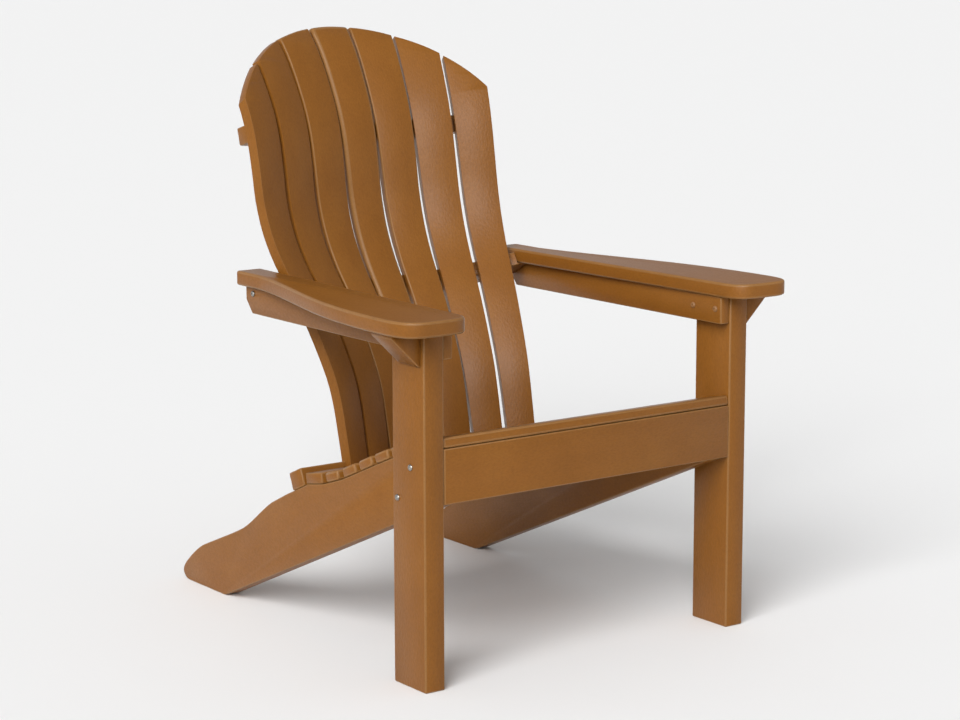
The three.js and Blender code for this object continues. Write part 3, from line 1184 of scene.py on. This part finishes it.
@dataclass
class Studio:
    """A pale floor in a bright room, a window to the front left, a softbox, and the camera.

    Places are in metres. The room is brightest at the horizon and evens out above haze_top, the
    sine of an elevation. The softbox is seen only in reflections, so it adds sheen and no light.
    """

    camera_place: tuple[float, float, float] = (-2.4662, -3.4856, 1.2095)
    yaw: float = 35.973
    pitch: float = 10.115
    roll: float = -0.116
    lens: float = 91.76
    sees_to: float = 400.0
    floor_size: float = 300.0
    floor_white: str = "F0F0F0"
    window_toward: tuple[float, float, float] = (-0.70, -0.44, 0.56)
    window_power: float = 3.35
    window_spread: float = 40.0
    horizon: float = 0.8
    zenith: float = 0.42
    haze_top: float = 0.4
    softbox_place: tuple[float, float, float] = (-1.3, -3.9, 2.5)
    softbox_size: tuple[float, float] = (1.3, 2.6)
    softbox_aim: tuple[float, float, float] = (0.0, 0.25, 0.7)
    softbox_power: float = 130.0

    def add_floor(self) -> None:
        """Lay a plain pale floor."""
        clear_selection()
        bpy.ops.mesh.primitive_plane_add(size=self.floor_size, location=(0, 0, 0))
        floor = bpy.context.object
        floor.name = "studio_floor"
        material = bpy.data.materials.new("matt_white_studio_paper")
        material.use_nodes = True
        shader = material.node_tree.nodes["Principled BSDF"]
        shader.inputs["Base Color"].default_value = linear(self.floor_white)
        shader.inputs["Roughness"].default_value = 0.9
        shader.inputs["Specular IOR Level"].default_value = 0.1
        floor.data.materials.append(material)

    def add_camera(self) -> None:
        """Set the camera above arm height, to the front left of the chair."""
        data = bpy.data.cameras.new("camera")
        data.lens = self.lens
        data.clip_end = self.sees_to
        camera = bpy.data.objects.new("camera", data)
        bpy.context.scene.collection.objects.link(camera)
        turn = (
            Matrix.Rotation(-math.radians(self.yaw), 4, "Z")
            @ Matrix.Rotation(math.radians(90 - self.pitch), 4, "X")
            @ Matrix.Rotation(math.radians(self.roll), 4, "Z")
        )
        camera.matrix_world = Matrix.Translation(self.camera_place) @ turn
        bpy.context.scene.camera = camera

    def add_window(self) -> None:
        """Add the broad soft light, a large window to the front left."""
        data = bpy.data.lights.new("window_light", "SUN")
        data.energy = self.window_power
        data.angle = math.radians(self.window_spread)
        light = bpy.data.objects.new("window_light", data)
        bpy.context.scene.collection.objects.link(light)
        toward = Vector(self.window_toward)
        turn = toward.to_track_quat("Z", "Y").to_matrix().to_4x4()
        light.matrix_world = Matrix.Translation(toward * 4) @ turn

    def add_softbox(self) -> None:
        """Hang a softbox in front of the back slats, for the sheen on the ones that face it."""
        data = bpy.data.lights.new("softbox", "AREA")
        data.shape = "RECTANGLE"
        data.size, data.size_y = self.softbox_size
        data.energy = self.softbox_power
        light = bpy.data.objects.new("softbox", data)
        light.visible_diffuse = False
        bpy.context.scene.collection.objects.link(light)
        aim = Vector(self.softbox_aim) - Vector(self.softbox_place)
        turn = aim.to_track_quat("-Z", "Y").to_matrix().to_4x4()
        light.matrix_world = Matrix.Translation(self.softbox_place) @ turn

    def add_room(self) -> None:
        """Fill the room with white light, brightest at the horizon."""
        world = bpy.data.worlds.new("studio_room")
        world.use_nodes = True
        tree = world.node_tree
        background = tree.nodes["Background"]
        background.inputs["Color"].default_value = linear("FFFFFF")
        looking = add_node(tree, "ShaderNodeTexCoord").outputs["Generated"]
        height = add_node(tree, "ShaderNodeSeparateXYZ", {"Vector": looking}).outputs["Z"]
        level = add_node(tree, "ShaderNodeMapRange", {"Value": height})
        level.inputs["From Max"].default_value = self.haze_top
        level.inputs["To Min"].default_value = self.horizon
        level.inputs["To Max"].default_value = self.zenith
        tree.links.new(level.outputs["Result"], background.inputs["Strength"])
        bpy.context.scene.world = world

    def build(self) -> None:
        """Set up the whole studio, with plain colours on screen."""
        bpy.context.scene.view_settings.view_transform = "Standard"
        self.add_floor()
        self.add_room()
        self.add_window()
        self.add_softbox()
        self.add_camera()


def main() -> None:
    """Set up the studio, then build the chair in the order a maker would."""
    logging.basicConfig(level=logging.INFO, format="%(message)s")
    # The rounded edges get a paler copy of the lumber: a painted highlight.
    edge_highlight = PolyLumber(
        name="hdpe_poly_lumber_edge_painted_highlight", body="8A6135", light="8E6539", dark="865D32",
        roughness_low=0.34, roughness_high=0.42, bump_mm=0.1,
    ).make()
    shop = Workshop(
        lumber_x=(PolyLumber(name="hdpe_poly_lumber_grain_x", stretch=(0.45, 1, 1)).make(), edge_highlight),
        lumber_y=(PolyLumber(name="hdpe_poly_lumber_grain_y", stretch=(1, 0.45, 1)).make(), edge_highlight),
        lumber_z=(PolyLumber(name="hdpe_poly_lumber_grain_z", stretch=(1, 1, 0.45)).make(), edge_highlight),
        steel=(StainlessSteel().make(),),
        coated=(StainlessSteel(
            name="stainless_steel_brown_coated", clean="8C6339", scuffed="7A5531",
            metallic=0.0, roughness_low=0.5, roughness_high=0.6,
        ).make(),),
        front=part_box("front_leg_right")[0][1],
    )
    Studio().build()
    Legs(shop).build()
    Stringers(shop).build()
    rear_board = Seat(shop).build()
    back = BackSlats(shop)
    back.build()
    BackBoards(shop).build(back, rear_board)
    Arms(shop).build()
    Hardware(shop).build()


if __name__ == "__main__":
    main()
